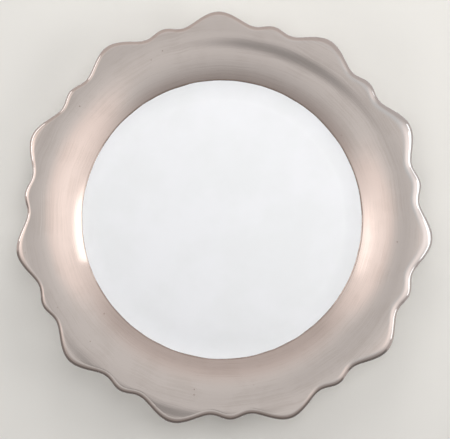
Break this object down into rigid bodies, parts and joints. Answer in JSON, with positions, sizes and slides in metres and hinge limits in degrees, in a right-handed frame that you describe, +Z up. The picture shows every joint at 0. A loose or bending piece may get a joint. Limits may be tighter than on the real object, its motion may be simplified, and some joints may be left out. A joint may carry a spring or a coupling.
{
  "type": "bread and butter plate",
  "caption": "White porcelain bread and butter plate: flat well, coved scalloped rim coated in warm brushed metal, and a foot ring to stand on. Holds bread or a small serving.",
  "frame": {"origin": "on the plate's axis, in the plane of the table under the foot ring", "axes": "+Z up along the plate's axis; the tip of one broad lobe lies an eighth of a lobe past +Y, towards -X"},
  "size_m": [0.1797, 0.1797, 0.0182],
  "materials": {
    "biscuit_porcelain": "matte",
    "white_glaze": "gloss",
    "brushed_metal": "satin"
  },
  "bodies": {
    "root": {"porcelain_body": "biscuit_porcelain", "foot_ring": "biscuit_porcelain", "well_glaze": "white_glaze", "rim_metal": "brushed_metal", "back_glaze": "white_glaze", "recess_glaze": "white_glaze"}
  },
  "joints": []
}
